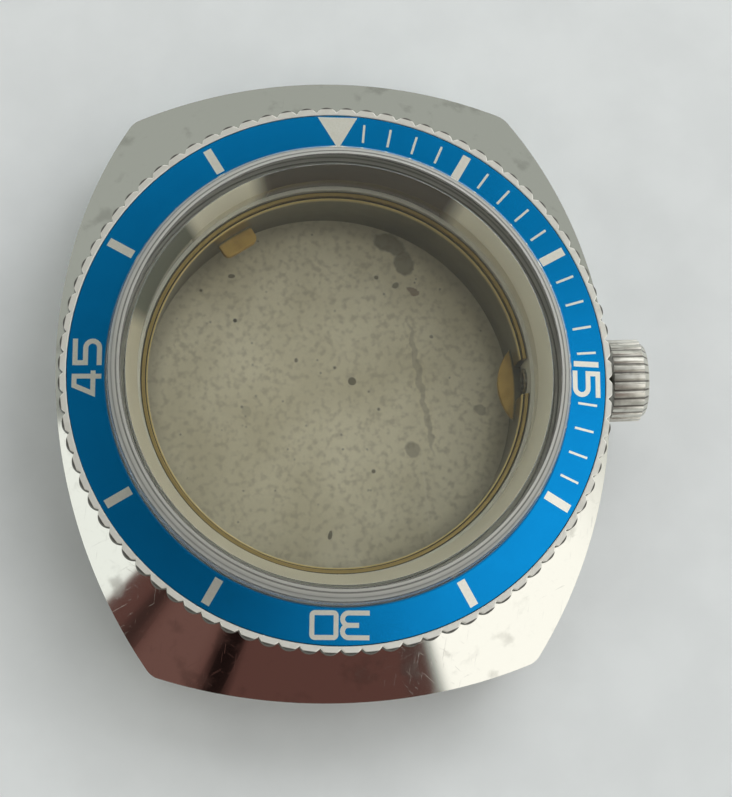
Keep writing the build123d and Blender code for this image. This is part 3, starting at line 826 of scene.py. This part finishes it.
# Marks on the insert: each is drawn flat, with X across and Y out from the middle, then laid on the cone
marks = {
    "proud": 0.012,
    "sunk": 0.03,
    "bars": {"turns": (30, 60, 120, 150, 210, 240, 300, 330), "from": 17.17, "to": 19.2, "width": 0.64},
    "ticks": {"turns": [6 * n for n in range(1, 20) if n % 5], "from": 17.5, "to": 18.95, "width": 0.17},
    "triangle": {"from": 16.9, "to": 19.4, "halfBase": 1.46, "halfTip": 0.02},
}
numerals = {
    "foot": 17.03,
    "places": {"15": (90.15, 0.31), "30": (180.25, 0.11), "45": (270.75, 0.39)},
    "1": {"width": 0.4, "foot": 0.1, "top": 2.0},
    "5": {"width": 1.94, "height": 2.1, "stroke": 0.36, "bowl": 0.495},
    "3": {"width": 2.1, "height": 2.1, "stroke": 0.35, "middleFrom": 0.75, "deeper": 0.003},
    "0": {"width": 2.06, "height": 2.1, "stroke": 0.35, "corner": 0.37},
    "4": {
        "upright": 1.34,
        "height": 2.12,
        "stroke": 0.35,
        "crossing": 0.42,
        "past": 0.24,
        "slope": 0.42,
        "slant": 1.1,
    },
}


def drawFace(*corners):
    piece = drawPath([(x, y, 0) for x, y in corners])
    bpy.ops.mesh.select_all(action="SELECT")
    bpy.ops.mesh.edge_face_add()
    activate(piece)
    return piece


def drawBar(left, foot, right, top):
    return drawFace((left, foot), (right, foot), (right, top), (left, top))


def drawBend(middle, inner, stroke, start, sweep):
    # a stroke bent counterclockwise round a middle point
    way = Vector((cos(radians(start)), sin(radians(start)), 0))
    centre = Vector((*middle, 0))
    piece = drawPath([centre + way * inner, centre + way * (inner + stroke)])
    bpy.ops.mesh.select_all(action="SELECT")
    bpy.ops.mesh.spin(steps=10, angle=-radians(sweep), center=centre * mm, axis=(0, 0, 1))
    activate(piece)
    return piece


def drawOne(left):
    look = numerals["1"]
    return [drawBar(left, look["foot"], left + look["width"], look["top"])], look["width"]


def drawFive(left):
    look = numerals["5"]
    stroke, bowl, height = look["stroke"], look["bowl"], look["height"]
    turn = left + look["width"] - bowl - stroke / 2
    middle = stroke / 2 + 2 * bowl
    strokes = [
        drawBar(left, height - stroke, left + look["width"], height),
        drawBar(left, middle + stroke / 2, left + stroke, height - stroke),
        drawBar(left, middle - stroke / 2, turn, middle + stroke / 2),
        drawBar(left, 0, turn, stroke),
        drawBend((turn, middle - bowl), bowl - stroke / 2, stroke, -90, 180),
    ]
    return strokes, look["width"]


def drawThree(left):
    look = numerals["3"]
    stroke, height = look["stroke"], look["height"]
    bowl = (height - stroke) / 4
    turn = left + look["width"] - bowl - stroke / 2
    middle = height / 2
    strokes = [
        drawBar(left, height - stroke, turn, height),
        drawBar(left + look["middleFrom"], middle - stroke / 2, turn, middle + stroke / 2),
        drawBar(left, 0, turn, stroke),
        drawBend((turn, middle + bowl), bowl - stroke / 2, stroke, -90, 180),
        drawBend((turn, middle - bowl), bowl - stroke / 2, stroke, -90, 180),
    ]
    # the two bends overlap. The lower one, drawn last and still selected, goes a hair deeper,
    # because faces that share a plane show as a grey smudge.
    bpy.ops.transform.translate(value=(0, 0, -look["deeper"] * mm))
    return strokes, look["width"]


def drawZero(left):
    look = numerals["0"]
    stroke, corner, top = look["stroke"], look["corner"], look["height"]
    right = left + look["width"]
    strokes = [
        drawBar(left, corner, left + stroke, top - corner),
        drawBar(right - stroke, corner, right, top - corner),
        drawBar(left + corner, 0, right - corner, stroke),
        drawBar(left + corner, top - stroke, right - corner, top),
    ]
    near, far = left + corner, right - corner
    corners = ((far, top - corner), (near, top - corner), (near, corner), (far, corner))
    for quarter, middle in enumerate(corners):
        strokes.append(drawBend(middle, corner - stroke, stroke, 90 * quarter, 90))
    return strokes, look["width"]


def drawFour(left):
    look = numerals["4"]
    stroke, top = look["stroke"], look["height"]
    upright, crossing = left + look["upright"], look["crossing"]
    crossTop, headFoot = crossing + stroke, top - stroke
    right = upright + stroke + look["past"]
    lean = look["slope"]
    slant = stroke * look["slant"]
    footLeft, headLeft = left + lean * stroke, left + lean * (headFoot - crossing)
    topLeft = left + lean * (top - crossing)
    strokes = [
        drawBar(upright, 0, upright + stroke, top),
        drawFace((headLeft, headFoot), (upright, headFoot), (upright, top), (topLeft, top)),
        drawFace((left, crossing), (upright, crossing), (upright, crossTop), (footLeft, crossTop)),
        drawBar(upright + stroke, crossing, right, crossTop),
        drawFace((footLeft, crossTop), (footLeft + slant, crossTop), (headLeft + slant, headFoot),
                 (headLeft, headFoot)),
    ]
    return strokes, right - left


drawDigit = {"0": drawZero, "1": drawOne, "3": drawThree, "4": drawFour, "5": drawFive}


def joined(parts):
    activate(parts[0])
    for part in parts:
        part.select_set(True)
    bpy.ops.object.join()
    return bpy.context.object


def layOnInsert(mark, foot, clockwise):
    # thicken a flat mark and lay it on the cone, its zero height at the foot radius
    editAll(mark)
    thickness = (marks["proud"] + marks["sunk"]) * mm
    bpy.ops.mesh.extrude_region_move(TRANSFORM_OT_translate={"value": (0, 0, thickness)})
    bpy.ops.mesh.select_all(action="SELECT")
    bpy.ops.mesh.normals_make_consistent(inside=False)
    activate(mark)
    lift = (insertHeight(foot) - marks["sunk"]) * mm
    lying = Matrix.Translation((0, foot * mm, lift)) @ Matrix.Rotation(-insertSlope, 4, "X")
    mark.matrix_world = Matrix.Rotation(-radians(clockwise + bezelLook["rest"]), 4, "Z") @ lying
    bpy.ops.object.transform_apply(location=True, rotation=True, scale=True)


def makeMarks():
    for kind, name in (("bars", "insertBars"), ("ticks", "insertTicks")):
        look = marks[kind]
        made = []
        for turn in look["turns"]:
            mark = drawBar(-look["width"] / 2, 0, look["width"] / 2, look["to"] - look["from"])
            layOnInsert(mark, look["from"], turn)
            made.append(mark)
        dress(joined(made), name, "bezel", "insert_blue", "bareMarks")
    look = marks["triangle"]
    reach, base, tip = look["to"] - look["from"], look["halfBase"], look["halfTip"]
    triangle = drawFace((-tip, 0), (tip, 0), (base, reach), (-base, reach))
    layOnInsert(triangle, look["from"], 0)
    dress(triangle, "insertTriangle", "bezel", "insert_blue", "bareMarks")
    for number, (turn, gap) in numerals["places"].items():
        strokes = []
        across = 0
        for digit in number:
            drawn, width = drawDigit[digit](across)
            strokes += drawn
            across += width + gap
        mark = joined(strokes)
        editAll(mark)
        bpy.ops.transform.translate(value=(-(across - gap) / 2 * mm, 0, 0))
        bpy.ops.mesh.remove_doubles(threshold=1e-6)
        layOnInsert(mark, numerals["foot"], turn)
        dress(mark, "insertNumber" + number, "bezel", "insert_blue", "bareMarks")


makeBezelRing()
makeInsert()
makeMarks()
print("bezel, insert and marks ready")

# Crystal: a step at its foot, upright wall, two bevels and a flat top, just clear of what it touches
crystalLow, crystalHigh = [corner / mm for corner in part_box("crystal")]
tensionLow, tensionHigh = [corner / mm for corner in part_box("tension_ring")]
crystalLook = {
    "clear": 0.03,
    "plate": 1.8,
    "flange": 0.18,
    "flangeTop": 1.2,
    "flangeSlope": 0.15,
    "bevelWidths": (0.3, 0.5),
    "bevelHeights": (0.6, 0.4),
    "steps": 256,
    "round": 0.12,
    "roundSteps": 4,
    "roundAngle": 15,
}


def makeCrystal():
    clear = crystalLook["clear"]
    outer, top = crystalHigh.x, crystalHigh.z
    bore, under, foot = tensionHigh.x + clear, top - crystalLook["plate"], crystalLow.z + clear
    lowBevel, highBevel = crystalLook["bevelWidths"]
    lowDrop, highDrop = crystalLook["bevelHeights"]
    wall, flangeTop = outer - crystalLook["flange"], foot + crystalLook["flangeTop"]
    section = (
        (0, under),
        (bore, under),
        (bore, foot),
        (outer - clear, foot),
        (outer - clear, flangeTop - crystalLook["flangeSlope"]),
        (wall, flangeTop),
        (wall, top - highDrop - lowDrop),
        (wall - lowBevel, top - highDrop),
        (wall - lowBevel - highBevel, top),
        (0, top),
    )
    piece = spinSection(section, crystalLook["steps"])
    softenEdges(piece, crystalLook["round"], crystalLook["roundSteps"], angle=crystalLook["roundAngle"])
    dress(piece, "crystalCap", "case", "crystal_clear")
    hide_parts("crystal")


# Tension ring: a pale cone that falls towards the dial
tensionLook = {"width": 0.9, "coneHeight": 1.1, "edge": 0.03, "steps": 300}


def makeTensionRing():
    outer, foot, top = tensionHigh.x, tensionLow.z, tensionHigh.z
    inner = outer - tensionLook["width"]
    section = ((inner, foot), (outer, foot), (outer, top), (inner, top - tensionLook["coneHeight"]))
    piece = spinSection(section, tensionLook["steps"])
    softenEdges(piece, tensionLook["edge"])
    dress(piece, "tensionRing", "case", "tension_mirror")
    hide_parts("tension_ring")


# Rings that stay hidden: bezel wire, back gasket and crown seal
hiddenLook = {
    "wireSweep": 351,
    "gasketWidth": 1.0,
    "gasketEdge": 0.15,
    "gasketEdgeSteps": 3,
    "corners": 16,
    "steps": 200,
    "sealSteps": 60,
    "smooth": 40,
}


def roundSection(radius, height, thickness):
    steps = [radians(360 * n / hiddenLook["corners"]) for n in range(hiddenLook["corners"])]
    return [(radius + thickness / 2 * cos(a), height + thickness / 2 * sin(a)) for a in steps]


def finishRound(piece, name, body, slot, nodeName):
    activate(piece)
    bpy.ops.object.shade_smooth_by_angle(angle=radians(hiddenLook["smooth"]))
    dress(piece, name, body, slot)
    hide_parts(nodeName)


def makeWire():
    low, high = [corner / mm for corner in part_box("bezel_wire")]
    thickness = high.z - low.z
    section = roundSection(high.x - thickness / 2, (low.z + high.z) / 2, thickness)
    piece = spinSection(section, hiddenLook["steps"], hiddenLook["wireSweep"])
    finishRound(piece, "bezelWire", "bezel", "spring_wire", "bezel_wire")


def makeGasket():
    low, high = [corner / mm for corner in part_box("back_gasket")]
    inner = high.x - hiddenLook["gasketWidth"]
    section = ((inner, low.z), (high.x, low.z), (high.x, high.z), (inner, high.z))
    piece = spinSection(section, hiddenLook["steps"])
    softenEdges(piece, hiddenLook["gasketEdge"], hiddenLook["gasketEdgeSteps"])
    dress(piece, "backGasket", "back", "seal_rubber")
    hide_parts("back_gasket")


def makeSeal():
    low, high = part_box("crown_seal")
    thickness = (high.x - low.x) / mm
    outer = (high.z - low.z) / 2 / mm
    piece = spinSection(roundSection(outer - thickness / 2, 0, thickness), hiddenLook["sealSteps"])
    piece.matrix_world = Matrix.Translation((low + high) / 2) @ Matrix.Rotation(radians(90), 4, "Y")
    bpy.ops.object.transform_apply(location=True, rotation=True, scale=True)
    finishRound(piece, "crownSeal", "seal", "seal_rubber", "crown_seal")


makeCrystal()
makeTensionRing()
makeWire()
makeGasket()
makeSeal()
print("crystal, tension ring and hidden rings ready")

scene.view_settings.view_transform = "Standard"
